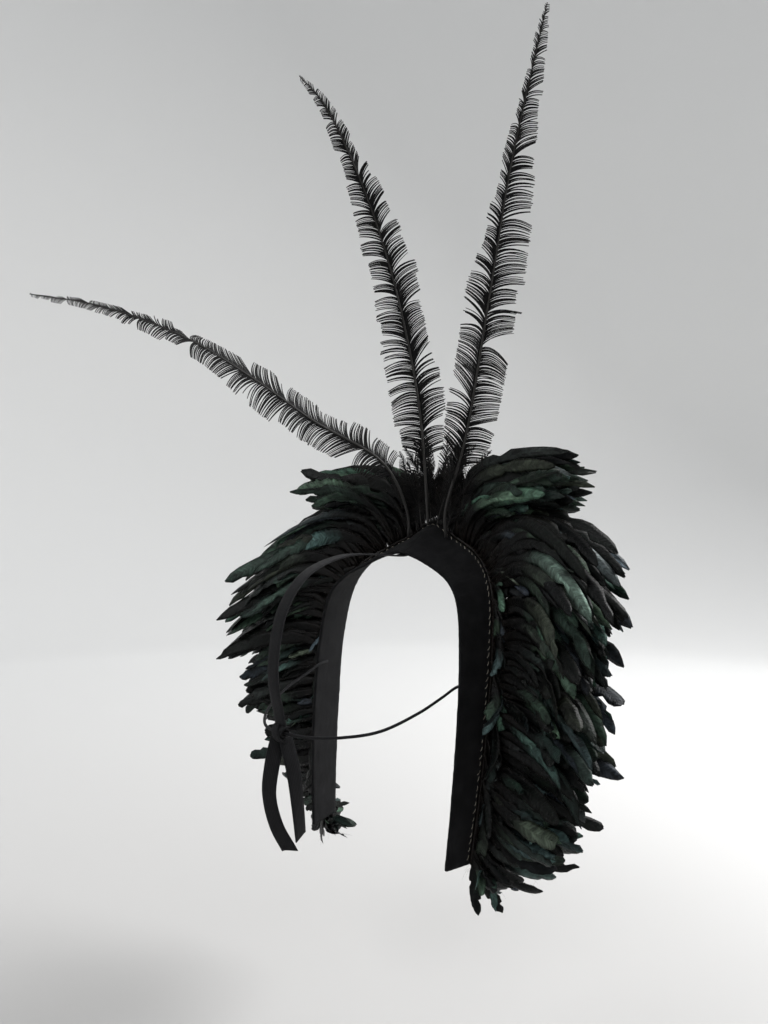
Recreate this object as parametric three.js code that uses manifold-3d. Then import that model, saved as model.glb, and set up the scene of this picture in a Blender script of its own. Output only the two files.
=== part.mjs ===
// Feathered headdress: a felt base that frames the face, bunches of curled cock feathers sewn round it,
// a tuft and three tall plumes at its peak, and an elastic harness behind the head.
// Millimetres, +Z up. The wearer faces -Y, and the wearer's left is +X.
// The origin is the top of the wearer's head, where the headdress sits.
import * as THREE from "three";
import { mergeVertices } from "three/addons/utils/BufferGeometryUtils.js";
import Module from "manifold-3d";

const wasm = await Module();
wasm.setup();

// Driving dimensions
const gap = 0.35; // left between pieces that touch
const smoothing = 0.6; // smaller creases where locks cross are smoothed away
const felt = { wall: 2.5, stitchShare: 0.66, stationSteps: 3, acrossSteps: 4 };
const tape = { lift: 0.8, thickness: 2.2, from: 0.7, to: 0.97, stationSteps: 3, acrossSteps: 2 };
const lock = { width: 21, thickness: 7, startReach: 0.52 };
const ruffEnds = { first: 1.02, last: 7.96, spare: 0.02 }; // stations, with the spare left between bunches
const room = { under: 14, inside: 25, past: 50, ahead: 150 }; // reach of the spaces that keep pieces apart
const quill = { rootRadius: 1.7, tipRadius: 0.5, sides: 5, steps: 12 };
const vane = { perSide: 10, from: 0.19, to: 0.985, thickness: 0.9, fill: 0.76, sweep: 0.5 };
const elastic = { width: 12, thickness: 1.2, cordDiameter: 2.4 };
const knot = { forward: -98, up: -131, halfWidth: 8, halfDepth: 5.5, halfHeight: 7 };

// Sections of the base from the peak down one side. out, forward and up place the stitch line, where the
// feathers start. rearIn and rearBack lead from it to the rear edge, frontOut and frontAhead to the front edge.
const sections = [
  { at: "peak", out: 0, forward: 97, up: 27, rearIn: 24, rearBack: 50, frontOut: 5, frontAhead: 15 },
  { at: "parting", out: 24, forward: 95, up: 14, rearIn: 16, rearBack: 49, frontOut: 5, frontAhead: 15 },
  { at: "hairline", out: 50, forward: 89, up: 1, rearIn: 14, rearBack: 45, frontOut: 5, frontAhead: 16 },
  { at: "brow", out: 71, forward: 76, up: -14, rearIn: 12, rearBack: 38, frontOut: 5, frontAhead: 17 },
  { at: "temple", out: 84, forward: 65, up: -36, rearIn: 10, rearBack: 33, frontOut: 5, frontAhead: 18 },
  { at: "ear", out: 90, forward: 54, up: -86, rearIn: 8, rearBack: 29, frontOut: 5, frontAhead: 18 },
  { at: "jaw", out: 90, forward: 46, up: -146, rearIn: 7, rearBack: 27, frontOut: 4, frontAhead: 18 },
  { at: "neck", out: 87, forward: 40, up: -200, rearIn: 6, rearBack: 25, frontOut: 4, frontAhead: 17 },
  { at: "hem", out: 82, forward: 34, up: -254, rearIn: 5, rearBack: 22, frontOut: 3, frontAhead: 15 },
];
const lastStation = sections.length - 1;

// Feather bunches of one side. station counts the sections from the peak to the bunch's middle, and rise is the
// angle at which its feathers set out, in degrees above level. tipOut, tipForward and tipUp are where the tips
// of its middle layer lie.
const bunches = [
  { name: "crest", station: 1.5, rise: 80, tipOut: 160, tipForward: 95, tipUp: 62 },
  { name: "brow", station: 2.6, rise: 66, tipOut: 200, tipForward: 64, tipUp: 4 },
  { name: "temple", station: 3.65, rise: 54, tipOut: 212, tipForward: 40, tipUp: -42 },
  { name: "cheekbone", station: 4.5, rise: 42, tipOut: 214, tipForward: 29, tipUp: -84 },
  { name: "cheek", station: 5.2, rise: 20, tipOut: 209, tipForward: 28, tipUp: -126 },
  { name: "jaw", station: 5.9, rise: -2, tipOut: 201, tipForward: 34, tipUp: -168 },
  { name: "throat", station: 6.6, rise: -24, tipOut: 188, tipForward: 52, tipUp: -210 },
  { name: "hem", station: 7.25, rise: -46, tipOut: 160, tipForward: 72, tipUp: -248 },
  { name: "fringe", station: 7.78, rise: -72, tipOut: 106, tipForward: 66, tipUp: -284 },
];

// Layers of a bunch from the back of the ruff to its front: where the locks are sewn across the base and along
// the bunch, how far their tips swing forward, and their reach as a share of the middle layer's.
const layers = [
  { across: 0.74, swing: -22, reach: 0.95, shares: [0.25, 0.75] },
  { across: 0.84, swing: 6, reach: 1, shares: [0.5] },
  { across: 0.93, swing: 34, reach: 0.88, shares: [0.25, 0.75] },
];

// Short feathers of the tuft, in stations from the middle, with their lean from upright and length
const tuftFeathers = [
  { station: -0.7, lean: -36, length: 72, swing: -6 },
  { station: -0.36, lean: -16, length: 70, swing: 10 },
  { station: 0, lean: 0, length: 66, swing: -4 },
  { station: 0.36, lean: 16, length: 68, swing: 12 },
  { station: 0.7, lean: 38, length: 72, swing: -6 },
];
const tuft = { from: 0.76, to: 0.96, halfSpan: 0.86, width: 24, thickness: 8 };

// Tall plumes: points along each quill from its foot, with out to the wearer's left. breadth is the longest
// barb, and facing is the way that the flat of the vane looks.
const plumes = [
  {
    name: "plume_right",
    breadth: 22,
    facing: { out: -0.6, forward: -0.8, up: 0 },
    quill: [
      { out: -46, forward: 84, up: 103 },
      { out: -88, forward: 60, up: 224 },
      { out: -119, forward: 44, up: 322 },
      { out: -164, forward: 20, up: 421 },
    ],
    footStation: -0.92,
  },
  {
    name: "plume_centre",
    breadth: 21,
    facing: { out: -0.55, forward: -0.8, up: 0.2 },
    quill: [
      { out: 0, forward: 76, up: 137 },
      { out: 0, forward: 43, up: 236 },
      { out: 0, forward: -1, up: 315 },
      { out: 0, forward: -52, up: 371 },
      { out: 0, forward: -79, up: 382 },
    ],
    footStation: 0,
  },
  {
    name: "plume_left",
    breadth: 20,
    facing: { out: -0.6, forward: -0.6, up: 0.5 },
    quill: [
      { out: 31, forward: 62, up: 84 },
      { out: 83, forward: 20, up: 125 },
      { out: 110, forward: -30, up: 161 },
      { out: 138, forward: -85, up: 194 },
      { out: 174, forward: -150, up: 216 },
      { out: 194, forward: -200, up: 219 },
    ],
    footStation: 0.92,
  },
];
const plumeFoot = { across: 0.55, height: 22 };

// The flat strap over the crown and down the back of the head, after the stretch sewn under the base
const backStrapRun = [
  { forward: 16, up: 1.5 },
  { forward: -32, up: 1.5 },
  { forward: -74, up: -12 },
  { forward: -96, up: -36 },
  { forward: -105, up: -66 },
  { forward: -106, up: -92 },
  { forward: -101, up: -114 },
];
const strapSewn = { from: 0.2, to: 0.03, drop: 2.4 }; // shares across the base, and its lie below the ridge

// The nape cord from the knot to the inside of one cheek
const napeRun = [
  { out: 0, forward: -98, up: -131 },
  { out: 24, forward: -91, up: -132 },
  { out: 45, forward: -75, up: -131.5 },
  { out: 62, forward: -54, up: -128.5 },
  { out: 74, forward: -22, up: -119 },
  { out: 77, forward: 6, up: -111 },
];
const napeSewn = { station: 5.32, from: 0.02, to: 0.36 }; // shares across the base where it is sewn inside

// The free ends of the strap below the knot. turn is the angle of their width from level with the shoulders.
const tails = [
  {
    name: "tail_long",
    run: [
      { out: 2.5, forward: -99, up: -138.5, turn: 60 },
      { out: 3, forward: -105, up: -156, turn: 35 },
      { out: 2, forward: -108.5, up: -176, turn: 20 },
      { out: -1, forward: -104, up: -200, turn: 25 },
      { out: -5, forward: -94, up: -221, turn: 30 },
    ],
  },
  {
    name: "tail_short",
    run: [
      { out: -4, forward: -97, up: -138.5, turn: 80 },
      { out: -9.5, forward: -94, up: -160, turn: 70 },
      { out: -12, forward: -92, up: -186, turn: 85 },
      { out: -10.5, forward: -87.5, up: -211.5, turn: 95 },
    ],
  },
];

const finish = (color, roughness) => new THREE.MeshStandardMaterial({ color, roughness, metalness: 0 });
const feltBlack = finish(0x17181b, 0.95);
const ruffBlack = finish(0x0e1412, 0.45);
const plumeBlack = finish(0x121214, 0.7);
const elasticBlack = finish(0x1b1c20, 0.8);

const vector = ({ out, forward, up }, side = 1) => new THREE.Vector3(side * out, -forward, up);
const along = (start, direction, length) => start.clone().addScaledVector(direction, length);
const evenly = (count, from = 0, to = 1) =>
  Array.from({ length: count + 1 }, (_, i) => from + ((to - from) * i) / count);

// Solids

function manifoldOf(positions, faces) {
  const mesh = new wasm.Mesh({ numProp: 3, vertProperties: positions, triVerts: faces });
  return new wasm.Manifold(mesh);
}

// A solid body from a closed geometry, with its faces turned outwards
function solid(geometry) {
  const bare = geometry.clone();
  bare.deleteAttribute("normal");
  bare.deleteAttribute("uv");
  const merged = mergeVertices(bare);
  const positions = new Float32Array(merged.attributes.position.array);
  const faces = new Uint32Array(merged.index.array);
  const body = manifoldOf(positions, faces);
  return body.volume() > 0 ? body : manifoldOf(positions, faces.reverse());
}

function geometryOf(manifold) {
  const { vertProperties, triVerts } = manifold.getMesh();
  return new THREE.BufferGeometry()
    .setAttribute("position", new THREE.BufferAttribute(vertProperties, 3))
    .setIndex(new THREE.BufferAttribute(triVerts, 1));
}

const union = (bodies) => bodies.reduce((sum, next) => sum.add(next));

// The largest outer shell of a body: hollows sealed between crossing locks are filled and scraps dropped
function outerShell(body) {
  const shells = body.simplify(smoothing).decompose();
  return shells.reduce((a, b) => (b.volume() > a.volume() ? b : a));
}

function meshOf(name, body, material) {
  const geometry = geometryOf(body);
  geometry.computeVertexNormals();
  const mesh = new THREE.Mesh(geometry, material);
  mesh.name = name;
  return mesh;
}

// A body from rings of equally many points, with each end closed by a fan
function skin(rings) {
  const sides = rings[0].length;
  const last = (rings.length - 1) * sides;
  const ends = evenly(sides - 3, 1, sides - 2).flatMap((j) => [0, j + 1, j, last, last + j, last + j + 1]);
  return closedBody(rings, ends);
}

// As skin, for rings that are long and thin: each end is closed by a strip between its two long sides
function flatSkin(rings) {
  const sides = rings[0].length;
  const last = (rings.length - 1) * sides;
  const ends = evenly(sides / 2 - 2, 0, sides / 2 - 2).flatMap((a) => {
    const [b, c, d] = [a + 1, sides - 2 - a, sides - 1 - a];
    return [a, d, b, b, d, c, ...[a, b, d, b, c, d].map((corner) => last + corner)];
  });
  return closedBody(rings, ends);
}

function closedBody(rings, ends) {
  const sides = rings[0].length;
  const faces = [...ends];
  for (let i = 0; i + 1 < rings.length; i++)
    for (let j = 0; j < sides; j++) {
      const [a, b] = [i * sides + j, i * sides + ((j + 1) % sides)];
      faces.push(a, b, a + sides, b, b + sides, a + sides);
    }
  const positions = rings.flat().flatMap((p) => [p.x, p.y, p.z]);
  const geometry = new THREE.BufferGeometry();
  geometry.setAttribute("position", new THREE.Float32BufferAttribute(positions, 3)).setIndex(faces);
  return solid(geometry);
}

// Outlines of a swept section, as [across, through] points turning the same way
const diamond = (width, thickness) => [
  [width / 2, 0],
  [0, thickness / 2],
  [-width / 2, 0],
  [0, -thickness / 2],
];
const oblong = (width, thickness) => [
  [width / 2, -thickness / 2],
  [width / 2, thickness / 2],
  [-width / 2, thickness / 2],
  [-width / 2, -thickness / 2],
];
const polygon = (sides, radius) =>
  evenly(sides, 0, 2 * Math.PI)
    .slice(0, sides)
    .map((angle) => [radius * Math.cos(angle), radius * Math.sin(angle)]);

// A section carried along a curve, flat side towards facing
function sweep(curve, stops, facingAt, outlineAt) {
  const rings = stops.map((stop) => {
    const centre = curve.getPoint(stop);
    const tangent = curve.getTangent(stop);
    const across = new THREE.Vector3().crossVectors(facingAt(stop), tangent).normalize();
    const through = new THREE.Vector3().crossVectors(tangent, across);
    return outlineAt(stop).map(([a, t]) => along(along(centre, across, a), through, t));
  });
  return skin(rings);
}

// The felt base

// A line along the base as a curve through all its sections, from the wearer's right hem over the peak to the
// left hem. offsetOf gives how far it lies inside and ahead of the stitch line.
function archLine(offsetOf) {
  const points = sections.map((row, i) => {
    const before = sections[Math.max(i - 1, 0)];
    const after = sections[Math.min(i + 1, lastStation)];
    const slope = i === 0 ? 0 : Math.atan2(after.up - before.up, after.out - before.out);
    const { inside, ahead } = offsetOf(row);
    return {
      out: row.out + inside * Math.sin(slope),
      forward: row.forward + ahead,
      up: row.up - inside * Math.cos(slope),
    };
  });
  const right = points.slice(1).reverse().map((p) => vector(p, -1));
  return new THREE.CatmullRomCurve3([...right, ...points.map((p) => vector(p))], false, "centripetal");
}

const rearEdge = archLine((row) => ({ inside: row.rearIn, ahead: -row.rearBack }));
const stitchLine = archLine(() => ({ inside: 0, ahead: 0 }));
const frontEdge = archLine((row) => ({ inside: -row.frontOut, ahead: row.frontAhead }));

// A point on the outside of the base: station from -lastStation at the right hem to lastStation at the left hem,
// and share across from the rear edge to the front edge
function basePoint(station, share) {
  const t = (station + lastStation) / (2 * lastStation);
  const q = felt.stitchShare;
  return new THREE.Vector3()
    .addScaledVector(rearEdge.getPoint(t), ((share - q) * (share - 1)) / q)
    .addScaledVector(stitchLine.getPoint(t), (share * (share - 1)) / (q * (q - 1)))
    .addScaledVector(frontEdge.getPoint(t), (share * (share - q)) / (1 - q));
}

function baseNormal(station, share) {
  const step = 0.01;
  const low = Math.max(station - step, -lastStation);
  const high = Math.min(station + step, lastStation);
  const alongArch = basePoint(high, share).sub(basePoint(low, share));
  const acrossBase = basePoint(station, share + step).sub(basePoint(station, share - step));
  return alongArch.cross(acrossBase).normalize().negate();
}

const baseOffset = (station, share, height) =>
  along(basePoint(station, share), baseNormal(station, share), height);

// A sheet that follows the base between two heights above its outside
function sheetOnBase(stations, shares, low, high) {
  const rings = stations.map((station) => [
    ...shares.map((share) => baseOffset(station, share, high)),
    ...[...shares].reverse().map((share) => baseOffset(station, share, low)),
  ]);
  return flatSkin(rings);
}

const baseStations = evenly(2 * lastStation * felt.stationSteps, -lastStation, lastStation);
const feltBody = sheetOnBase(baseStations, evenly(felt.acrossSteps), -felt.wall, 0);

// All the room up to a small height above the base, which the feathers are kept out of
const baseRoom = sheetOnBase(baseStations, evenly(felt.acrossSteps + 1, 0, 1.25), -room.under, gap);

// Feathers

// Shape of a lock: its breadth and depth as shares of the full sizes, from its root at stop 0 to its tip at 1
const lockShape = [
  { stop: 0, breadth: 0.5, depth: 0.4 },
  { stop: 0.3, breadth: 0.85, depth: 0.9 },
  { stop: 0.62, breadth: 1, depth: 1 },
  { stop: 0.86, breadth: 0.74, depth: 0.6 },
  { stop: 1, breadth: 0.16, depth: 0.2 },
];

// One lock of feathers: a blade that sets out along a heading and bends over to its tip
function featherLock(line, width, thickness, facing) {
  const curve = new THREE.QuadraticBezierCurve3(line.root, bendOf(line), line.tip);
  const stops = lockShape.map((row) => row.stop);
  const outlineAt = (stop) => {
    const { breadth, depth } = lockShape.find((row) => row.stop === stop);
    return diamond(width * breadth, thickness * depth);
  };
  return sweep(curve, stops, () => facing, outlineAt);
}

// The sewn tape under a bunch, between two stations
const featherTape = (from, to, shareFrom, shareTo) =>
  sheetOnBase(
    evenly(tape.stationSteps, from, to),
    evenly(tape.acrossSteps, shareFrom, shareTo),
    tape.lift,
    tape.lift + tape.thickness,
  );

// Values of the bunch table at any station, so that the locks of a bunch fan out towards its neighbours
function flowAt(station) {
  const next = bunches.findIndex((row) => row.station >= station);
  const b = bunches[next < 1 ? (next < 0 ? bunches.length - 1 : 1) : next];
  const a = bunches[bunches.indexOf(b) - 1];
  const t = (station - a.station) / (b.station - a.station);
  const mix = (key) => a[key] + (b[key] - a[key]) * t;
  return { rise: mix("rise"), tip: { out: mix("tipOut"), forward: mix("tipForward"), up: mix("tipUp") } };
}

// The line of a feather sewn at a station of one side, in one layer
function featherLine(side, station, layer) {
  const { rise, tip } = flowAt(station);
  const angle = THREE.MathUtils.degToRad(rise);
  const root = baseOffset(side * station, layer.across, tape.lift + tape.thickness / 2);
  const lift = { out: Math.cos(angle), forward: layer.swing / 200, up: Math.sin(angle) };
  const end = vector({ ...tip, forward: tip.forward + layer.swing }, side);
  return { root, heading: vector(lift, side).normalize(), tip: end.lerp(root, 1 - layer.reach) };
}

const bendOf = ({ root, heading, tip }) => along(root, heading, root.distanceTo(tip) * lock.startReach);

// The room of the feathers sewn between two stations of one side, from inside the base to past the tips
function featherRoom(side, from, to) {
  const rings = evenly(2, from, to).map((station) => {
    const line = featherLine(side, station, layers[1]);
    const bend = bendOf(line);
    const curve = new THREE.QuadraticBezierCurve3(line.root, bend, line.tip);
    const past = along(line.tip, line.tip.clone().sub(bend).normalize(), room.past);
    const run = [along(line.root, line.heading, -room.inside), ...curve.getPoints(4), past];
    const shifted = (forward) => run.map((p) => along(p, new THREE.Vector3(0, -1, 0), forward));
    return [...shifted(-room.ahead), ...shifted(room.ahead).reverse()];
  });
  return flatSkin(rings);
}

// Stations between which a bunch lies: half way to its neighbours
function bunchEnds(i) {
  const between = (a, b) => (bunches[a].station + bunches[b].station) / 2;
  return [
    i > 0 ? between(i - 1, i) : ruffEnds.first,
    i + 1 < bunches.length ? between(i, i + 1) : ruffEnds.last,
  ];
}

function ruffBunch(side, i) {
  const [from, to] = bunchEnds(i);
  const facing = new THREE.Vector3(side * 0.25, 1, 0.15).normalize();
  const locks = layers.flatMap((layer) =>
    (to - from > 0.5 ? layer.shares : [0.5]).map((share) => {
      const line = featherLine(side, from + (to - from) * share, layer);
      return featherLock(line, lock.width, lock.thickness, facing);
    }),
  );
  const { spare } = ruffEnds;
  const ends = [from + 2 * spare, to - 2 * spare].map((station) => side * station);
  const whole = union([featherTape(...ends, tape.from, tape.to), ...locks]);
  const own = whole.intersect(featherRoom(side, from + spare, to - spare));
  return outerShell(own.subtract(baseRoom).subtract(quillRoom));
}

function ruff() {
  const group = new THREE.Group();
  for (const [sideName, side] of [["right", -1], ["left", 1]])
    bunches.forEach(({ name }, i) => {
      group.add(meshOf(`ruff_${sideName}_${name}`, ruffBunch(side, i), ruffBlack));
    });
  return group;
}

function crownTuft() {
  const share = (tuft.from + tuft.to) / 2;
  const locks = tuftFeathers.map((row) => {
    const lean = THREE.MathUtils.degToRad(row.lean);
    const root = baseOffset(row.station, share, tape.lift + tape.thickness / 2);
    const heading = new THREE.Vector3(Math.sin(lean) * 0.6, 0, Math.cos(lean)).normalize();
    const reach = new THREE.Vector3(Math.sin(lean), -row.swing / row.length, Math.cos(lean));
    const line = { root, heading, tip: along(root, reach, row.length) };
    return featherLock(line, tuft.width, tuft.thickness, new THREE.Vector3(0, 1, 0.1));
  });
  const pad = featherTape(-tuft.halfSpan, tuft.halfSpan, tuft.from, tuft.to);
  const besides = [-1, 1].map((side) => featherRoom(side, ruffEnds.first, bunches[1].station));
  const whole = union([pad, ...locks]);
  return outerShell(whole.subtract(union([baseRoom, quillRoom, ...besides])));
}

// Tall plumes

// Length of the barbs along a plume as a share of the longest, from the first barb at 0 to the tip at 1
const barbShare = (stop) => Math.min(1, 0.62 + 2.2 * stop) * Math.min(1, 1.32 - 1.16 * stop);

function quillCurve(row) {
  const foot = baseOffset(row.footStation, plumeFoot.across, gap + quill.rootRadius);
  const first = along(foot, new THREE.Vector3(0, 0.08, 1), plumeFoot.height);
  return new THREE.CatmullRomCurve3([foot, first, ...row.quill.map((p) => vector(p))], false, "centripetal");
}

function quillStem(row, spare) {
  const radiusAt = (stop) => quill.rootRadius + (quill.tipRadius - quill.rootRadius) * stop + spare;
  const outlineAt = (stop) => polygon(quill.sides, radiusAt(stop));
  return sweep(quillCurve(row), evenly(quill.steps), () => vector(row.facing), outlineAt);
}

// The room round the quills that the feathers beside them leave free
const quillRoom = union(plumes.map((row) => quillStem(row, 3 * gap)));

function tallPlume(row) {
  const curve = quillCurve(row);
  const facing = vector(row.facing).normalize();
  const pitch = (vane.to - vane.from) / vane.perSide;
  const strips = [1, -1].flatMap((side) =>
    evenly(vane.perSide - 1, vane.from, vane.to - pitch).map((start) =>
      vaneStrip(curve, facing, side, start, start + pitch * vane.fill, row.breadth),
    ),
  );
  return outerShell(union([quillStem(row, 0).subtract(baseRoom), ...strips]));
}

// One group of barbs: a thin slanted plate from the quill's middle to the edge of the vane
function vaneStrip(curve, facing, side, start, end, breadth) {
  const share = barbShare((start - vane.from) / (vane.to - vane.from));
  const corner = (stop, length) => {
    const tangent = curve.getTangent(stop);
    const across = new THREE.Vector3().crossVectors(facing, tangent).normalize();
    const outer = along(curve.getPoint(stop), across, side * length);
    return along(outer, tangent, vane.sweep * length);
  };
  const reach = breadth * share;
  const outline = [corner(start, 0), corner(end, 0), corner(end, reach), corner(start, reach)];
  const lift = (height) => outline.map((p) => along(p, facing, height * vane.thickness));
  return skin([lift(-0.5), lift(0.5)]);
}

// Elastic harness

function backStrap() {
  const under = -(felt.wall + strapSewn.drop + elastic.thickness / 2);
  const sewn = [strapSewn.from, strapSewn.to].map((share) => baseOffset(0, share, under));
  const free = backStrapRun.map((p) => vector({ out: 0, ...p }));
  const end = vector({ out: 0, forward: knot.forward, up: knot.up + knot.halfHeight + gap });
  const curve = new THREE.CatmullRomCurve3([...sewn, ...free, end], false, "centripetal");
  const facingAt = (stop) => curve.getTangent(stop).cross(new THREE.Vector3(1, 0, 0));
  const outline = oblong(elastic.width, elastic.thickness);
  return sweep(curve, evenly(26), facingAt, () => outline);
}

// The cord's line from the inside of the wearer's right cheek round the nape to the left
function napeLine() {
  const under = -(felt.wall + 2 * gap + elastic.cordDiameter / 2);
  const half = (side) => [
    ...napeRun.slice(1).map((p) => vector(p, side)),
    ...[napeSewn.from, napeSewn.to].map((share) => baseOffset(side * napeSewn.station, share, under)),
  ];
  const points = [...half(-1).reverse(), vector(napeRun[0]), ...half(1)];
  return new THREE.CatmullRomCurve3(points, false, "centripetal");
}

function cordTube(diameter, steps) {
  const section = new THREE.Shape(polygon(8, diameter / 2).map(([x, y]) => new THREE.Vector2(x, y)));
  return solid(new THREE.ExtrudeGeometry(section, { extrudePath: napeLine(), steps, bevelEnabled: false }));
}

const napeCord = () => cordTube(elastic.cordDiameter, 42);

function strapKnot() {
  const ball = new THREE.SphereGeometry(1, 12, 8).rotateX(Math.PI / 2);
  ball.scale(knot.halfWidth, knot.halfDepth, knot.halfHeight);
  ball.translate(0, -knot.forward, knot.up);
  return solid(ball).subtract(cordTube(elastic.cordDiameter + 2 * gap, 42));
}

function strapTail(row) {
  const curve = new THREE.CatmullRomCurve3(row.run.map((p) => vector(p)), false, "centripetal");
  const facingAt = (stop) => {
    const place = stop * (row.run.length - 1);
    const i = Math.min(Math.floor(place), row.run.length - 2);
    const turn = row.run[i].turn + (row.run[i + 1].turn - row.run[i].turn) * (place - i);
    const angle = THREE.MathUtils.degToRad(turn);
    return new THREE.Vector3(-Math.sin(angle), Math.cos(angle), 0);
  };
  const outline = oblong(elastic.width, elastic.thickness);
  return sweep(curve, evenly(12), facingAt, () => outline);
}

const headdress = new THREE.Group();
headdress.name = "feathered_headdress";
headdress.add(
  meshOf("felt_base", feltBody, feltBlack),
  ruff(),
  meshOf("crown_tuft", crownTuft(), plumeBlack),
  ...plumes.map((row) => meshOf(row.name, tallPlume(row), plumeBlack)),
  meshOf("back_strap", backStrap(), elasticBlack),
  meshOf("nape_cord", napeCord(), elasticBlack),
  meshOf("strap_knot", strapKnot(), elasticBlack),
  ...tails.map((row) => meshOf(row.name, strapTail(row), elasticBlack)),
);

export default headdress;
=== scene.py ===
import math

import bpy
import numpy as np
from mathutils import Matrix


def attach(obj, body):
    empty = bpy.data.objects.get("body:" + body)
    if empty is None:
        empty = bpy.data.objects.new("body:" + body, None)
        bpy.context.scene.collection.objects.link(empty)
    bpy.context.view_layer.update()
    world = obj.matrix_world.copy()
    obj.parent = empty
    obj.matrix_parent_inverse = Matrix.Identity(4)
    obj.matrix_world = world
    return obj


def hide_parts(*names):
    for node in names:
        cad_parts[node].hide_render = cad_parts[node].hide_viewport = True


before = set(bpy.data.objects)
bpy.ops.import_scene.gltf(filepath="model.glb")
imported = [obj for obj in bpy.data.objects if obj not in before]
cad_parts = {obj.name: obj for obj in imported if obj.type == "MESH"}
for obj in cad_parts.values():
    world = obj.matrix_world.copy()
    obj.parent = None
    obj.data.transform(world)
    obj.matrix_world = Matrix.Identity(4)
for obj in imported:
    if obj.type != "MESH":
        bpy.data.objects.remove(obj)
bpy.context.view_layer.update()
mm = 0.001
up = np.array([0.0, 0.0, 1.0])


# Small tools

def place(out, forward, height, side=1):  # the wearer's measures in mm, to the frame in metres
    return np.stack(np.broadcast_arrays(side * np.asarray(out, float), -np.asarray(forward, float), height), -1) * mm


def unit(v):
    return v / np.maximum(np.linalg.norm(v, axis=-1, keepdims=True), 1e-12)


def column(rows, key):
    return np.array([row[key] for row in rows], float)


def splineAt(points, t):  # a smooth line through points, 0 at the first and 1 at the last
    points = np.asarray(points, float)
    padded = np.vstack([2 * points[0] - points[1], points, 2 * points[-1] - points[-2]])
    spot = np.clip(np.asarray(t, float), 0, 1) * (len(points) - 1)
    i = np.minimum(spot.astype(int), len(points) - 2)
    u = (spot - i)[..., None]
    p0, p1, p2, p3 = (padded[i + k] for k in range(4))
    d0, d1, d2 = (np.sqrt(np.linalg.norm(b - a, axis=-1, keepdims=True)) for a, b in ((p0, p1), (p1, p2), (p2, p3)))
    m1 = ((p1 - p0) / d0 - (p2 - p0) / (d0 + d1) + (p2 - p1) / d1) * d1
    m2 = ((p2 - p1) / d1 - (p3 - p1) / (d1 + d2) + (p3 - p2) / d2) * d1
    return p1 + m1 * u + (3 * (p2 - p1) - 2 * m1 - m2) * u**2 + (2 * (p1 - p2) + m1 + m2) * u**3


def lengthsAlong(line):  # the way from the first point to each of the others
    return np.concatenate([[0], np.cumsum(np.linalg.norm(np.diff(line, axis=0), axis=1))])


def evenLine(points, count):  # the same line with points at even spacing
    fine = splineAt(points, np.linspace(0, 1, 40 * len(points)))
    run = lengthsAlong(fine)
    wanted = np.linspace(0, run[-1], count)
    return np.stack([np.interp(wanted, run, fine[:, k]) for k in range(3)], -1)


def bezier(p0, p1, p2, stops):  # many three-point curves at once
    s = stops[None, :, None]
    return (1 - s) ** 2 * p0[:, None] + 2 * s * (1 - s) * p1[:, None] + s**2 * p2[:, None]


def framesAlong(curves, facing):  # tangent, across and lift, with the flat side towards facing
    tangent = unit(np.gradient(curves, axis=1))
    across = unit(np.cross(np.broadcast_to(facing, tangent.shape), tangent))
    return tangent, across, np.cross(tangent, across)


def tubeFaces(count, rings, around):  # quads of many closed tubes, with their ends
    grid = np.arange(count * rings * around).reshape(count, rings, around)
    beside = np.roll(grid, -1, axis=2)
    walls = np.stack([grid[:, :-1], beside[:, :-1], beside[:, 1:], grid[:, 1:]], -1).reshape(-1, 4)
    k = np.arange(around // 2 - 1)
    corners = [k, around - 1 - k, around - 2 - k, k + 1]
    first = np.stack([grid[:, 0][:, c] for c in corners], -1).reshape(-1, 4)
    last = np.stack([grid[:, -1][:, c] for c in corners[::-1]], -1).reshape(-1, 4)
    return np.vstack([walls, first, last])


def part(verts, around, uv, along, tint):  # verts: tubes, rings, points around
    count, rings = verts.shape[:2]
    flat = lambda a, width: np.broadcast_to(a, verts.shape[:3] + (width,)).reshape(-1, width)
    return dict(
        verts=verts.reshape(-1, 3),
        faces=tubeFaces(count, rings, around),
        uv=flat(uv, 2),
        along=flat(along, 1)[:, 0],
        tint=flat(tint, 1)[:, 0],
    )


def joined(parts):  # several parts as one set of arrays
    starts = np.cumsum([0] + [len(p["verts"]) for p in parts[:-1]])
    whole = {key: np.concatenate([p[key] for p in parts]) for key in ("verts", "uv", "along", "tint")}
    whole["faces"] = np.vstack([p["faces"] + start for p, start in zip(parts, starts)])
    return whole


def piece(name, parts, material, nodes=()):  # one object, put on the body and over the nodes it replaces
    data = joined(parts)
    verts, faces = data["verts"], data["faces"]
    a, b, c, d = (verts[faces[:, k]] for k in range(4))
    volume = np.einsum("ij,ij->", a, np.cross(b, c) + np.cross(c, d))
    if volume < 0:  # inside out
        faces = faces[:, ::-1]
    mesh = bpy.data.meshes.new(name)
    mesh.vertices.add(len(verts))
    mesh.vertices.foreach_set("co", verts.ravel())
    mesh.loops.add(faces.size)
    mesh.loops.foreach_set("vertex_index", faces.ravel())
    mesh.polygons.add(len(faces))
    mesh.polygons.foreach_set("loop_start", np.arange(0, faces.size, 4))
    mesh.polygons.foreach_set("use_smooth", np.ones(len(faces), bool))
    mesh.uv_layers.new(name="lay").data.foreach_set("uv", data["uv"][faces.ravel()].ravel())
    for key in ("along", "tint"):
        mesh.attributes.new(key, "FLOAT", "POINT").data.foreach_set("value", data[key])
    mesh.update(calc_edges=True)
    mesh.materials.append(material)
    obj = bpy.data.objects.new(name, mesh)
    bpy.context.scene.collection.objects.link(obj)
    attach(obj, "root")
    if nodes:
        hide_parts(*nodes)
    return obj


# Shader helpers

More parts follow.
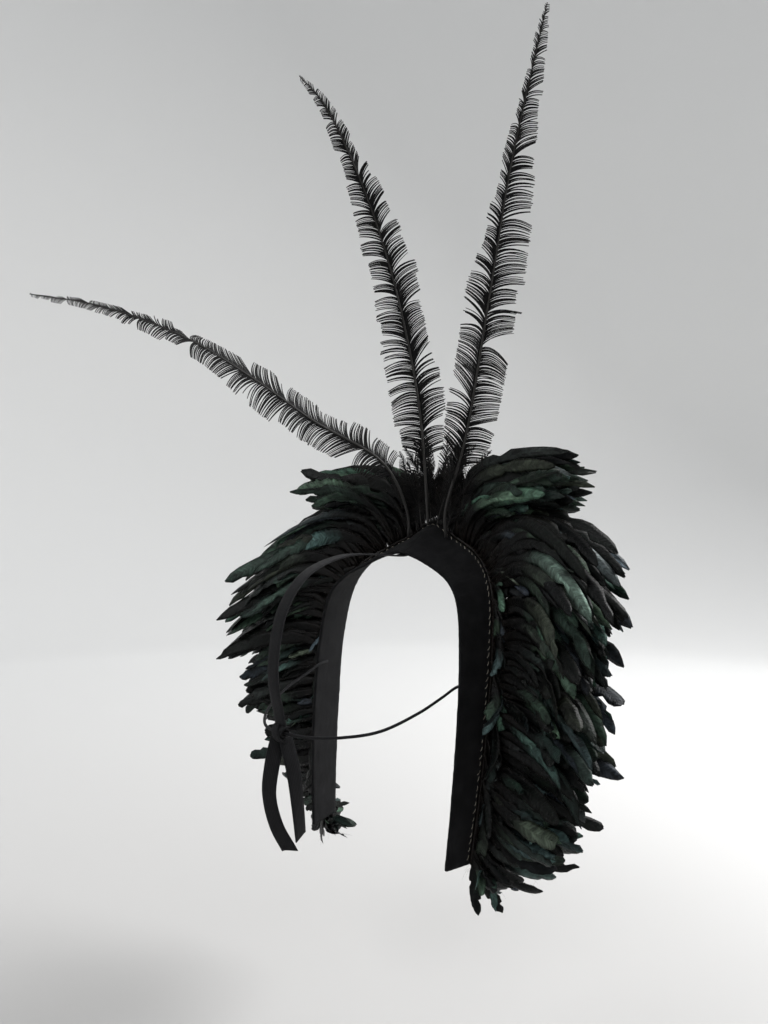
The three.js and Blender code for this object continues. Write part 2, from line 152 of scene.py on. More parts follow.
def put(tree, kind, values=None, **settings):  # a node with its settings and unlinked socket values
    node = tree.nodes.new(kind)
    for key, value in settings.items():
        setattr(node, key, value)
    for key, value in (values or {}).items():
        node.inputs[key].default_value = value
    return node


def join(tree, pairs):
    for source, target in pairs:
        tree.links.new(source, target)


def mathNode(tree, operation, a, b=None):
    node = put(tree, "ShaderNodeMath", operation=operation)
    for socket, value in zip(node.inputs, (a, b)):
        if isinstance(value, (int, float)):
            socket.default_value = value
        elif value is not None:
            tree.links.new(value, socket)
    return node.outputs[0]


def mixColour(tree, factor, a, b):
    node = put(tree, "ShaderNodeMix", data_type="RGBA")
    colours = [s for s in node.inputs if s.type == "RGBA"]
    for socket, value in zip([node.inputs["Factor"]] + colours, (factor, a, b)):
        if isinstance(value, tuple):
            socket.default_value = (*value, 1)
        else:
            tree.links.new(value, socket)
    return [s for s in node.outputs if s.type == "RGBA"][0]


def ramp(tree, value, stops):  # stops: position, and a colour or one number
    node = put(tree, "ShaderNodeValToRGB")
    elements = node.color_ramp.elements
    while len(elements) < len(stops):
        elements.new(0.5)
    for element, (position, colour) in zip(elements, stops):
        element.position = position
        element.color = (*colour, 1) if isinstance(colour, tuple) else (colour, colour, colour, 1)
    tree.links.new(value, node.inputs["Fac"])
    return node.outputs["Color"]


def material(name, **fixed):  # a Principled material; fixed values go on its own sockets
    made = bpy.data.materials.new(name)
    made.use_nodes = True
    tree = made.node_tree
    shader = tree.nodes["Principled BSDF"]
    for key, value in fixed.items():
        shader.inputs[key.replace("_", " ")].default_value = value
    return made, tree, shader


def group(name, inputs, outputs):  # an empty node group of plain numbers
    tree = bpy.data.node_groups.new(name, "ShaderNodeTree")
    for key, value in inputs.items():
        socket = tree.interface.new_socket(name=key, in_out="INPUT", socket_type="NodeSocketFloat")
        socket.default_value = value
    for key in outputs:
        tree.interface.new_socket(name=key, in_out="OUTPUT", socket_type="NodeSocketFloat")
    return tree, tree.nodes.new("NodeGroupInput").outputs, tree.nodes.new("NodeGroupOutput").inputs


def useGroup(tree, made, **values):  # the group placed in a material with its own values
    node = put(tree, "ShaderNodeGroup", node_tree=made)
    for key, value in values.items():
        node.inputs[key].default_value = value
    return node.outputs


# Effects that several finishes share

def barbGroup():  # streaks along the barbs, broader bands where they clump, and a mask for the vane's margin
    tree, given, out = group("barbs", {"Ribs": 90.0, "Clumps": 14.0, "Variety": 37.0}, ("Rib", "Clump", "Margin"))
    lay = put(tree, "ShaderNodeUVMap", uv_map="lay").outputs["UV"]
    split = put(tree, "ShaderNodeSeparateXYZ")
    tint = put(tree, "ShaderNodeAttribute", attribute_name="tint").outputs["Fac"]
    join(tree, [(lay, split.inputs[0])])
    u, v = split.outputs["X"], split.outputs["Y"]
    side = mathNode(tree, "SUBTRACT", v, 0.5)
    margin = mathNode(tree, "MULTIPLY", mathNode(tree, "ABSOLUTE", side), 2.0)
    seat = put(tree, "ShaderNodeCombineXYZ")
    half = mathNode(tree, "MULTIPLY", mathNode(tree, "SIGN", side), 3.0)
    join(tree, [
        (mathNode(tree, "MULTIPLY", u, given["Clumps"]), seat.inputs["X"]),
        (mathNode(tree, "ADD", half, mathNode(tree, "MULTIPLY", margin, 0.4)), seat.inputs["Y"]),
        (mathNode(tree, "MULTIPLY", tint, given["Variety"]), seat.inputs["Z"]),
    ])
    noise = put(tree, "ShaderNodeTexNoise", {"Scale": 1.0, "Detail": 3.0, "Roughness": 0.6})
    join(tree, [(seat.outputs[0], noise.inputs["Vector"])])
    thin = put(tree, "ShaderNodeCombineXYZ")
    fine = put(tree, "ShaderNodeTexNoise", {"Scale": 1.0, "Detail": 3.0, "Roughness": 0.65})
    join(tree, [
        (mathNode(tree, "MULTIPLY", u, given["Ribs"]), thin.inputs["X"]),
        (mathNode(tree, "ADD", half, mathNode(tree, "MULTIPLY", margin, 0.8)), thin.inputs["Y"]),
        (mathNode(tree, "MULTIPLY", tint, given["Variety"]), thin.inputs["Z"]),
        (thin.outputs[0], fine.inputs["Vector"]),
    ])
    rib = ramp(tree, fine.outputs["Fac"], ((0.34, 0.0), (0.66, 1.0)))
    join(tree, [(rib, out["Rib"]), (noise.outputs["Fac"], out["Clump"]), (margin, out["Margin"])])
    return tree


def fuzzGroup():  # the mottled nap of felt and yarn
    tree, given, out = group("nap", {"Fine": 2600.0, "Broad": 60.0}, ("Nap", "Mottle"))
    spot = put(tree, "ShaderNodeTexCoord").outputs["Object"]
    fine = put(tree, "ShaderNodeTexNoise", {"Detail": 4.0, "Roughness": 0.7})
    broad = put(tree, "ShaderNodeTexNoise", {"Detail": 3.0, "Roughness": 0.55})
    join(tree, [
        (spot, fine.inputs["Vector"]), (given["Fine"], fine.inputs["Scale"]),
        (spot, broad.inputs["Vector"]), (given["Broad"], broad.inputs["Scale"]),
        (fine.outputs["Fac"], out["Nap"]), (broad.outputs["Fac"], out["Mottle"]),
    ])
    return tree


barbs, nap = barbGroup(), fuzzGroup()


def bump(tree, shader, height, strength, distance):
    node = put(tree, "ShaderNodeBump", {"Strength": strength, "Distance": distance})
    join(tree, [(height, node.inputs["Height"]), (node.outputs["Normal"], shader.inputs["Normal"])])


cockFinish = dict(
    # margin is a painted backlight: the brown of light shining through the thin vane edges
    black=(0.0022, 0.0024, 0.0024), brown=(0.0060, 0.0042, 0.0032), margin=(0.0045, 0.0034, 0.0028),
    # sheen colour by the feather's tint, both the metallic tint and a painted sheen in the base colour
    sheens=((0.0, (0.17, 0.36, 0.26)), (0.30, (0.27, 0.42, 0.28)), (0.50, (0.18, 0.34, 0.33)),
            (0.66, (0.30, 0.36, 0.24)), (0.82, (0.26, 0.31, 0.42)), (1.0, (0.20, 0.40, 0.30))),
)


def cockMaterial():  # glossy black with patches of green, blue and violet sheen, part metallic tint and part painted sheen in the base colour; browner at the root, and browner at the margins as a painted backlight
    made, tree, shader = material("cockFeather", Specular_IOR_Level=0.11)
    look = useGroup(tree, barbs, Ribs=48.0, Clumps=8.0, Variety=41.0)
    tint = put(tree, "ShaderNodeAttribute", attribute_name="tint").outputs["Fac"]
    along = put(tree, "ShaderNodeAttribute", attribute_name="along").outputs["Fac"]
    sheen = ramp(tree, tint, cockFinish["sheens"])
    vane = ramp(tree, along, ((0.38, 0.0), (0.68, 1.0), (0.96, 1.0), (1.0, 0.7)))
    patch = ramp(tree, look["Clump"], ((0.36, 0.0), (0.72, 1.0)))
    chance = mathNode(tree, "FRACT", mathNode(tree, "MULTIPLY", tint, 17.3))
    strength = ramp(tree, chance, ((0.34, 0.015), (0.72, 0.30), (1.0, 1.0)))  # few feathers shine fully
    # painted sheen: colour mixed into the base colour on the outer vane, in patches and barb streaks, strongest on a
    # few feathers; it also sets the metallic
    paintedSheen = mathNode(tree, "MULTIPLY", vane, mathNode(tree, "ADD", mathNode(tree, "MULTIPLY", patch, 0.75), 0.15))
    streak = mathNode(tree, "ADD", mathNode(tree, "MULTIPLY", look["Rib"], 0.70), 0.30)
    paintedSheen = mathNode(tree, "MULTIPLY", mathNode(tree, "MULTIPLY", paintedSheen, strength), streak)
    rootBrown = ramp(tree, along, ((0.0, 0.8), (0.30, 0.0)))
    # painted backlight: the vane's margins browner, as if lit through from behind
    paintedBacklight = ramp(tree, look["Margin"], ((0.62, 0.0), (1.0, 0.8)))
    colour = mixColour(tree, paintedBacklight, cockFinish["black"], cockFinish["margin"])
    colour = mixColour(tree, rootBrown, colour, cockFinish["brown"])
    colour = mixColour(tree, paintedSheen, colour, sheen)
    rough = mathNode(tree, "ADD", mathNode(tree, "MULTIPLY", look["Clump"], 0.30), 0.16)
    height = mathNode(tree, "ADD", mathNode(tree, "MULTIPLY", look["Rib"], 0.40), look["Clump"])
    bump(tree, shader, height, 0.75, 0.0014)
    join(tree, [
        (colour, shader.inputs["Base Color"]), (rough, shader.inputs["Roughness"]),
        (mathNode(tree, "MULTIPLY", paintedSheen, 0.85), shader.inputs["Metallic"]),
    ])
    return made


downTones = ((0.0, (0.0022, 0.0020, 0.0019)), (0.6, (0.005, 0.004, 0.0034)), (1.0, (0.018, 0.014, 0.010)))


def downMaterial():  # soft brownish down at the roots
    made, tree, shader = material("featherDown", Roughness=0.9, Specular_IOR_Level=0.1)
    tint = put(tree, "ShaderNodeAttribute", attribute_name="tint").outputs["Fac"]
    colour = ramp(tree, tint, downTones)
    join(tree, [(colour, shader.inputs["Base Color"])])
    return made


plumeFinish = dict(
    blacks=((0.0, (0.0020, 0.0020, 0.0023)), (0.7, (0.0036, 0.0035, 0.0038)),  # by tint, the quill last and palest, its pale grey a painted highlight
            (0.9, (0.0075, 0.0065, 0.0058)), (1.0, (0.030, 0.029, 0.028))),
    tip=(0.009, 0.0070, 0.0055),
)


def plumeMaterial():  # dyed black barbs with a dull shine
    made, tree, shader = material("plumeBarb", Specular_IOR_Level=0.14)
    tint = put(tree, "ShaderNodeAttribute", attribute_name="tint").outputs["Fac"]
    along = put(tree, "ShaderNodeAttribute", attribute_name="along").outputs["Fac"]
    look = useGroup(tree, barbs, Ribs=60.0, Clumps=24.0, Variety=29.0)
    black = ramp(tree, tint, plumeFinish["blacks"])
    tipBrown = ramp(tree, along, ((0.55, 0.0), (1.0, 0.5)))
    colour = mixColour(tree, tipBrown, black, plumeFinish["tip"])
    rough = mathNode(tree, "ADD", mathNode(tree, "MULTIPLY", look["Clump"], 0.3), 0.34)
    bump(tree, shader, look["Rib"], 0.3, 0.0004)
    join(tree, [(colour, shader.inputs["Base Color"]), (rough, shader.inputs["Roughness"])])
    return made


feltTones = ((0.35, (0.0022, 0.0022, 0.0025)), (0.62, (0.0060, 0.0060, 0.0066)), (0.85, (0.013, 0.013, 0.014)))


def feltMaterial():  # dull black with a mottled nap
    made, tree, shader = material(
        "blackFelt", Roughness=0.95, Specular_IOR_Level=0.1, Sheen_Weight=0.02, Sheen_Roughness=0.5
    )
    look = useGroup(tree, nap, Fine=2400.0, Broad=70.0)
    fine, broad = (mathNode(tree, "MULTIPLY", look[key], 0.6) for key in ("Nap", "Mottle"))
    colour = ramp(tree, mathNode(tree, "ADD", fine, broad), feltTones)
    bump(tree, shader, look["Nap"], 0.7, 0.0006)
    join(tree, [(colour, shader.inputs["Base Color"])])
    return made


# dark is painted shade in the weave's grooves, pale is painted light on its raised ribs
weave = dict(ribs=9, picks=9, dark=(0.0022, 0.0022, 0.0026), pale=(0.0095, 0.0095, 0.0110))  # across, and to a cm


def elasticMaterial():  # woven black elastic with lengthwise ribs and short cross threads, paler on the raised weave and darker in its grooves as painted light and shade
    made, tree, shader = material("blackElastic", Specular_IOR_Level=0.14, Sheen_Weight=0.02)
    lay = put(tree, "ShaderNodeUVMap", uv_map="lay").outputs["UV"]
    split = put(tree, "ShaderNodeSeparateXYZ")
    join(tree, [(lay, split.inputs[0])])
    ribs = mathNode(tree, "SINE", mathNode(tree, "MULTIPLY", split.outputs["Y"], 2 * math.pi * weave["ribs"]))
    picks = mathNode(tree, "SINE", mathNode(tree, "MULTIPLY", split.outputs["X"], 2 * math.pi * weave["picks"]))
    crossed = mathNode(tree, "MULTIPLY", mathNode(tree, "MULTIPLY", ribs, picks), 0.25)
    relief = mathNode(tree, "ADD", mathNode(tree, "MULTIPLY", ribs, 0.3), crossed)
    height = mathNode(tree, "ADD", relief, 0.5)
    look = useGroup(tree, nap, Fine=3200.0, Broad=140.0)
    # colour follows the relief: painted shade in the grooves, painted light on the ribs
    colour = ramp(tree, height, ((0.1, weave["dark"]), (0.9, weave["pale"])))
    rough = mathNode(tree, "ADD", mathNode(tree, "MULTIPLY", look["Mottle"], 0.3), 0.55)
    bump(tree, shader, height, 0.5, 0.0005)
    join(tree, [(colour, shader.inputs["Base Color"]), (rough, shader.inputs["Roughness"])])
    return made


def threadMaterial():  # undyed sewing thread
    made, tree, shader = material("paleThread", Roughness=0.8, Sheen_Weight=0.2)
    look = useGroup(tree, nap, Fine=5200.0, Broad=300.0)
    colour = ramp(tree, look["Mottle"], ((0.3, (0.16, 0.14, 0.11)), (0.7, (0.42, 0.39, 0.33))))
    join(tree, [(colour, shader.inputs["Base Color"])])
    return made


cock, down, plumeBarb = cockMaterial(), downMaterial(), plumeMaterial()
felt, elastic, thread = feltMaterial(), elasticMaterial(), threadMaterial()
print("finishes made")


# The felt base, which carries everything

baseSections = [  # the stitch line from the peak down one side, and the reach from it to the rear and front edges
    dict(out=0, forward=97, height=27, rearIn=24, rearBack=50, frontOut=5, frontAhead=15),  # peak
    dict(out=24, forward=95, height=14, rearIn=16, rearBack=49, frontOut=5, frontAhead=15),  # parting
    dict(out=50, forward=89, height=1, rearIn=14, rearBack=45, frontOut=5, frontAhead=16),  # hairline
    dict(out=71, forward=76, height=-14, rearIn=12, rearBack=38, frontOut=5, frontAhead=17),  # brow
    dict(out=84, forward=65, height=-36, rearIn=10, rearBack=33, frontOut=5, frontAhead=18),  # temple
    dict(out=90, forward=54, height=-86, rearIn=8, rearBack=29, frontOut=5, frontAhead=18),  # ear
    dict(out=90, forward=46, height=-146, rearIn=7, rearBack=27, frontOut=4, frontAhead=18),  # jaw
    dict(out=87, forward=40, height=-200, rearIn=6, rearBack=25, frontOut=4, frontAhead=17),  # neck
    dict(out=82, forward=34, height=-254, rearIn=5, rearBack=22, frontOut=3, frontAhead=15),  # hem
]
base = dict(wall=2.5, stitchShare=0.66, stations=220, across=20, nap=0.25, seed=3)
lastStation = len(baseSections) - 1


def archLine(inside, ahead):  # a line round the arch, set in from the stitch line and ahead of it
    out, height = column(baseSections, "out"), column(baseSections, "height")
    before = np.maximum(np.arange(lastStation + 1) - 1, 0)
    after = np.minimum(np.arange(lastStation + 1) + 1, lastStation)
    slope = np.arctan2(height[after] - height[before], out[after] - out[before])
    slope[0] = 0
    outs, heights = out + inside * np.sin(slope), height - inside * np.cos(slope)
    forward = column(baseSections, "forward") + ahead
    return np.vstack([place(outs, forward, heights, -1)[:0:-1], place(outs, forward, heights)])


rearEdge = archLine(column(baseSections, "rearIn"), -column(baseSections, "rearBack"))
stitchLine = archLine(0, 0)
frontEdge = archLine(-column(baseSections, "frontOut"), column(baseSections, "frontAhead"))


def basePoint(station, share):  # outside of the base: minus to the wearer's right, share from rear to front edge
    station, share = np.broadcast_arrays(np.asarray(station, float), np.asarray(share, float))
    t = (station + lastStation) / (2 * lastStation)
    q, s = base["stitchShare"], share[..., None]
    return (
        splineAt(rearEdge, t) * (s - q) * (s - 1) / q
        + splineAt(stitchLine, t) * s * (s - 1) / (q * (q - 1))
        + splineAt(frontEdge, t) * s * (s - q) / (1 - q)
    )


def baseNormal(station, share):  # outward
    station, share = np.broadcast_arrays(np.asarray(station, float), np.asarray(share, float))
    low, high = np.maximum(station - 0.01, -lastStation), np.minimum(station + 0.01, lastStation)
    alongArch = basePoint(high, share) - basePoint(low, share)
    acrossBase = basePoint(station, share + 0.01) - basePoint(station, share - 0.01)
    return -unit(np.cross(alongArch, acrossBase))


def onBase(station, share, height):  # height in mm above the outside
    return basePoint(station, share) + baseNormal(station, share) * np.asarray(height)[..., None] * mm


def feltBase():  # a shell with a slightly uneven surface
    rng = np.random.default_rng(base["seed"])
    stations = np.linspace(-lastStation, lastStation, base["stations"])
    shares = np.linspace(0, 1, base["across"])
    outer = [(s, 0.0) for s in shares]
    inner = [(s, -base["wall"]) for s in shares[::-1]]
    ring = outer + [(1.012, -0.5 * base["wall"])] + inner + [(-0.012, -0.5 * base["wall"])]
    share = np.array([r[0] for r in ring])
    height = np.array([r[1] for r in ring])
    wave = rng.normal(0, 1, (len(stations), 1)) * 0.5 + rng.normal(0, 1, (len(stations), len(ring)))
    verts = onBase(stations[:, None], share[None, :], height[None, :] + base["nap"] * 0.5 * wave)
    uv = np.stack(np.broadcast_arrays(stations[:, None] * 4, share[None, :]), -1)
    shell = part(verts[None], len(ring), uv[None], np.zeros(1), np.zeros(1))
    piece("feltBase", [shell], felt, ["felt_base"])


def strandPart(p0, p1, p2, facing, width, thickness, steps, tint, taper=0.25):  # many tapered four-sided strands
    stops = np.linspace(0, 1, steps)
    curves = bezier(p0, p1, p2, stops)
    tangent, across, lift = framesAlong(curves, facing)
    shrink = 1 - (1 - taper) * stops**1.3
    w = (np.asarray(width)[:, None] * shrink)[:, :, None, None] * mm / 2
    h = (np.asarray(thickness)[:, None] * shrink)[:, :, None, None] * mm / 2
    ring = np.array([[1, 0], [0, 1], [-1, 0], [0, -1]], float)
    verts = curves[:, :, None] + across[:, :, None] * w * ring[:, :1] + lift[:, :, None] * h * ring[:, 1:]
    uv = np.stack(np.broadcast_arrays(stops[None, :, None], ring[None, None, :, 0] * 0.5 + 0.5), -1)
    return part(verts, 4, uv, stops[None, :, None, None], np.asarray(tint)[:, None, None, None])


stitches = dict(spacing=6.5, long=(3.2, 5.0), thick=0.55, rise=0.7, lean=0.016, seed=11)


def seamStitches():  # pale thread running along the seam where the feather tape is sewn on
    rng = np.random.default_rng(stitches["seed"])
    spots = np.linspace(-lastStation, lastStation, 400)
    run = lengthsAlong(basePoint(spots, base["stitchShare"]))
    count = int(run[-1] / (stitches["spacing"] * mm))
    begin = np.linspace(0.004, run[-1] - 0.010, count) + rng.normal(0, 0.5, count) * mm
    long = rng.uniform(*stitches["long"], count) * mm
    lean = stitches["lean"] * rng.uniform(0.2, 1.8, count)
    first, last = np.interp(begin, run, spots), np.interp(begin + long, run, spots)
    start = onBase(first, base["stitchShare"] - lean, np.full(count, -0.3))
    end = onBase(last, base["stitchShare"] + lean, np.full(count, -0.3))
    normal = baseNormal((first + last) / 2, base["stitchShare"])
    top = (start + end) / 2 + normal * stitches["rise"] * 2 * mm
    sizes = np.full(count, stitches["thick"])
    threads = strandPart(start, top, end, normal[:, None], sizes, sizes, 7, rng.random(count), 0.9)
    piece("seamStitches", [threads], thread)


edgeFuzz = dict(count=1600, long=(1.2, 3.6), thick=0.09, seed=17)


def feltFuzz():  # loose fibres along the raw rear edge and over the bare felt
    rng = np.random.default_rng(edgeFuzz["seed"])
    n = edgeFuzz["count"]
    station = rng.uniform(-lastStation, lastStation, n)
    share = np.where(rng.random(n) < 0.55, rng.uniform(0, 0.02, n), rng.uniform(0, 0.66, n))
    root = onBase(station, share, np.where(share < 0.03, rng.uniform(-2.2, 0, n), -0.1))
    away = unit(baseNormal(station, share) + rng.normal(0, 0.6, (n, 3)))
    away[share < 0.03] += np.array([0, 1.0, 0])
    tip = root + unit(away) * rng.uniform(*edgeFuzz["long"], n)[:, None] * mm
    mid = (root + tip) / 2 + rng.normal(0, 0.5, (n, 3)) * mm
    sizes = np.full(n, edgeFuzz["thick"])
    piece("feltFuzz", [strandPart(root, mid, tip, up + 0.3, sizes, sizes, 3, rng.random(n), 0.6)], felt)


feltBase()
seamStitches()
feltFuzz()
print("felt base made")


# The ruff of cock feathers

bunches = [
    # fall of the tips, how far the feathers keep apart, middle station, angle of setting out, where the tips lie
    dict(name="crest", droop=2, gather=0.45, station=1.5, rise=80, tipOut=160, tipForward=95, tipUp=68),
    dict(name="brow", droop=10, gather=0.4, station=2.6, rise=53, tipOut=200, tipForward=64, tipUp=-6),
    dict(name="temple", droop=6, gather=0.75, station=3.65, rise=45, tipOut=212, tipForward=40, tipUp=-42),
    dict(name="cheekbone", droop=3, gather=0.85, station=4.5, rise=30, tipOut=214, tipForward=29, tipUp=-84),
    dict(name="cheek", droop=0, gather=0.9, station=5.2, rise=10, tipOut=209, tipForward=28, tipUp=-126),
    dict(name="jaw", droop=0, gather=0.9, station=5.9, rise=-8, tipOut=201, tipForward=34, tipUp=-168),
    dict(name="throat", droop=0, gather=0.9, station=6.6, rise=-26, tipOut=188, tipForward=52, tipUp=-210),
    dict(name="hem", droop=0, gather=0.9, station=7.25, rise=-46, tipOut=160, tipForward=72, tipUp=-248),
    dict(name="fringe", droop=0, gather=0.9, station=7.78, rise=-72, tipOut=106, tipForward=66, tipUp=-284),
]
ruff = dict(
    perStation=70, first=0.74, last=7.96, lift=2.2, bend=0.54, rings=20,
    across=(0.70, 0.965), swing=(-26, 38), reach=(0.60, 1.0),
    width=(11, 18), thick=0.24, slant=0.75, camber=(0.04, 0.20),
    riseJitter=7, tipJitter=5, turnJitter=16, twist=0.32, curl=8, crestEnd=1.95,
    splits=0.15, splitTo=(0.38, 0.82), hollow=0.75, seed=100,
)
vaneStops = dict(  # half width along the vane, for a round and a pointed tip
    at=[0, 0.10, 0.28, 0.55, 0.80, 0.92, 0.97, 1],
    round=[0.22, 0.42, 0.78, 1, 1.0, 0.86, 0.62, 0.16],
    pointed=[0.22, 0.42, 0.80, 1, 0.82, 0.48, 0.24, 0.03],
)
vaneRing = np.array([[-1, 0], [-0.5, 0.7], [0, 1.7], [0.5, 0.7], [1, 0], [0.5, -0.7], [0, -1.2], [-0.5, -0.7]])


def flowAt(station, key):  # a value of the bunches, blended between their middles
    spots, values = column(bunches, "station"), column(bunches, key)
    i = np.clip(np.searchsorted(spots, station) - 1, 0, len(spots) - 2)
    return values[i] + (values[i + 1] - values[i]) * (station - spots[i]) / (spots[i + 1] - spots[i])


def bunchEnds(i):  # the stations where a bunch begins and ends
    spots = column(bunches, "station")
    halves = (spots[1:] + spots[:-1]) / 2
    edges = np.concatenate([[ruff["first"]], halves, [ruff["last"]]])
    return edges[i], edges[i + 1]


def turned(v, axis, angle):  # v turned about unit axes
    c, s = np.cos(angle)[:, None], np.sin(angle)[:, None]
    return v * c + np.cross(axis, v) * s + axis * np.sum(axis * v, -1, keepdims=True) * (1 - c)


def ruffLines(side, station, flow, depth, rng, reach):  # roots, bends and tips, depth 0 at the rear of the tape
    n = len(station)
    across = np.interp(depth, (0, 1), ruff["across"])
    swing = np.interp(depth, (0, 1), ruff["swing"]) + rng.normal(0, 5, n)
    rise = np.radians(flowAt(flow, "rise") + rng.normal(0, ruff["riseJitter"], n))
    root = onBase(side * station, across, np.full(n, ruff["lift"]))
    heading = unit(np.stack([side * np.cos(rise), -swing / 200 + rng.normal(0, 0.08, n), np.sin(rise)], -1))
    tip = place(flowAt(flow, "tipOut"), flowAt(flow, "tipForward") + swing, flowAt(flow, "tipUp"), side)
    tip = root + (tip + rng.normal(0, ruff["tipJitter"], (n, 3)) * mm - root) * reach[:, None]
    length = np.linalg.norm(tip - root, axis=1)
    bend = root + heading * (length * (ruff["bend"] + rng.normal(0, 0.05, n)))[:, None]
    facing = np.tile(unit(np.array([side * 0.25, 1.0, 0.15])), (n, 1))
    facing = turned(facing, unit(tip - root), np.radians(rng.normal(0, ruff["turnJitter"], n)))
    return dict(root=root, bend=bend, tip=tip, length=length, facing=facing)


def featherBlades(lines, width, droop, rng):  # closed thin vanes, ringed along the barbs and split at the margin
    n, rings = len(width), ruff["rings"]
    stops = np.linspace(0, 1, rings)
    s = stops[None, :, None]
    curve = bezier(lines["root"], lines["bend"], lines["tip"], stops)
    tangent, across, lift = framesAlong(curve, lines["facing"][:, None])
    curl = rng.normal(0, ruff["curl"], (n, 1, 1)) * mm * np.clip((s - 0.55) / 0.45, 0, 1) ** 2
    curve = curve + lift * curl + across * rng.normal(0, 0.4, (n, 1, 1)) * curl
    curve = curve - up * droop * mm * np.clip((s - 0.45) / 0.55, 0, 1) ** 2
    tangent, across, lift = framesAlong(curve, lines["facing"][:, None])
    twist = rng.normal(0, ruff["twist"], (n, 1, 1)) * (s - 0.25)
    across, lift = across * np.cos(twist) + lift * np.sin(twist), lift * np.cos(twist) - across * np.sin(twist)
    roundness = rng.random((n, 1))
    shape = roundness * np.interp(stops, vaneStops["at"], vaneStops["round"])
    shape = shape + (1 - roundness) * np.interp(stops, vaneStops["at"], vaneStops["pointed"])
    half = width[:, None] / 2 * shape * mm
    split = rng.random((n, rings, 2)) < ruff["splits"]
    trim = np.where(split, rng.uniform(*ruff["splitTo"], split.shape), 1 + rng.normal(0, 0.04, split.shape))
    v, thick = vaneRing[:, 0], vaneRing[:, 1]
    breadth = half[:, :, None] * np.where(v < 0, trim[:, :, :1], trim[:, :, 1:])
    bowed = rng.uniform(*ruff["camber"], (n, 1, 1))
    camber = bowed * rng.choice([-1, 1], (n, 1, 1), p=[1 - ruff["hollow"], ruff["hollow"]])
    taper = np.interp(stops, (0, 0.3, 1), (1.6, 1, 0.35))[None, :, None]
    sideways, ahead = v * breadth, np.abs(v) * breadth * ruff["slant"]
    raised = ruff["thick"] * mm * thick * taper - camber * breadth * v**2
    verts = (
        curve[:, :, None] + across[:, :, None] * sideways[..., None]
        + tangent[:, :, None] * ahead[..., None] + lift[:, :, None] * raised[..., None]
    )
    u = s * (lines["length"] / 0.1)[:, None, None]
    uv = np.stack(np.broadcast_arrays(u, v * 0.5 + 0.5), -1)
    return part(verts, len(vaneRing), uv, s[..., None], rng.random((n, 1, 1, 1)))


downStyle = dict(perFeather=4, long=(7, 17), thick=0.16, span=(0.02, 0.34), tint=(0, 1))  # soft barbs at the foot
wispStyle = dict(perFeather=3, long=(5, 11), thick=0.14, span=(0.45, 0.90), tint=(0, 0.2))  # loose ones further out


def downPart(lines, style, rng):  # thin strands along the quills
    n = style["perFeather"]
    pick = np.repeat(np.arange(len(lines["root"])), n)
    spot = rng.uniform(*style["span"], len(pick))[:, None]
    p0, p1, p2 = lines["root"][pick], lines["bend"][pick], lines["tip"][pick]
    start = (1 - spot) ** 2 * p0 + 2 * spot * (1 - spot) * p1 + spot**2 * p2
    tangent = unit(2 * (1 - spot) * (p1 - p0) + 2 * spot * (p2 - p1))
    across = unit(np.cross(lines["facing"][pick], tangent)) * rng.choice([-1, 1], (len(pick), 1))
    away = unit(across + 0.7 * tangent + rng.normal(0, 0.45, (len(pick), 3)))
    long = rng.uniform(*style["long"], len(pick))[:, None] * mm
    mid = start + away * long * 0.5
    end = start + unit(away + 0.5 * tangent + rng.normal(0, 0.35, (len(pick), 3))) * long
    sizes = np.full(len(pick), style["thick"])
    tint = rng.uniform(*style["tint"], len(pick))
    return strandPart(start, mid, end, np.array([0.2, 0.9, 0.4]), sizes, sizes, 3, tint, 0.3)


tape = dict(low=0.15, high=2.7, rear=0.69, front=0.975, stations=24, across=6)  # heights over the felt, shares across


def tapePart(low, high):  # the strip that the feathers are sewn to
    stations = np.linspace(low, high, tape["stations"])
    shares = np.linspace(tape["rear"], tape["front"], tape["across"])
    share = np.concatenate([shares, shares[::-1]])
    height = np.repeat([tape["high"], tape["low"]], len(shares))
    verts = onBase(stations[:, None], share[None], np.broadcast_to(height, (tape["stations"], len(share))))
    return part(verts[None], len(share), np.array([0.0, 0.5]), np.zeros(1), np.zeros(1))


edgeRow = dict(
    count=5, bunches=(2, 6), share=(0.66, 0.70), run=(0.55, 1.1), tipShare=(0.60, 0.86),
    height=(6, 17), bow=(8, 14), width=(7, 11),
)


def edgeLines(side, low, high, rng):  # feathers that lie down along the seam
    n = edgeRow["count"]
    station = rng.uniform(low, high, n)
    root = onBase(side * station, rng.uniform(*edgeRow["share"], n), np.full(n, ruff["lift"] + 1))
    end = np.minimum(station + rng.uniform(*edgeRow["run"], n), lastStation)
    tip = onBase(side * end, rng.uniform(*edgeRow["tipShare"], n), rng.uniform(*edgeRow["height"], n))
    bow = rng.uniform(*edgeRow["bow"], (n, 1)) * mm
    bend = (root + tip) / 2 + baseNormal(side * station, base["stitchShare"]) * bow
    length = np.linalg.norm(tip - root, axis=1)
    facing = turned(np.tile([0.0, 1.0, 0.0], (n, 1)), unit(tip - root), np.radians(rng.normal(0, 20, n)))
    return dict(root=root, bend=bend, tip=tip, length=length, facing=facing)


underRow = dict(count=13, crestCount=34, reach=(0.30, 0.58), width=(6, 10))


def underPart(side, low, high, count, rng):  # short feathers that close the ruff near the felt
    station = rng.uniform(low, high, count)
    lines = ruffLines(side, station, station, rng.random(count), rng, rng.uniform(*underRow["reach"], count))
    return featherBlades(lines, rng.uniform(*underRow["width"], count), 0, rng)


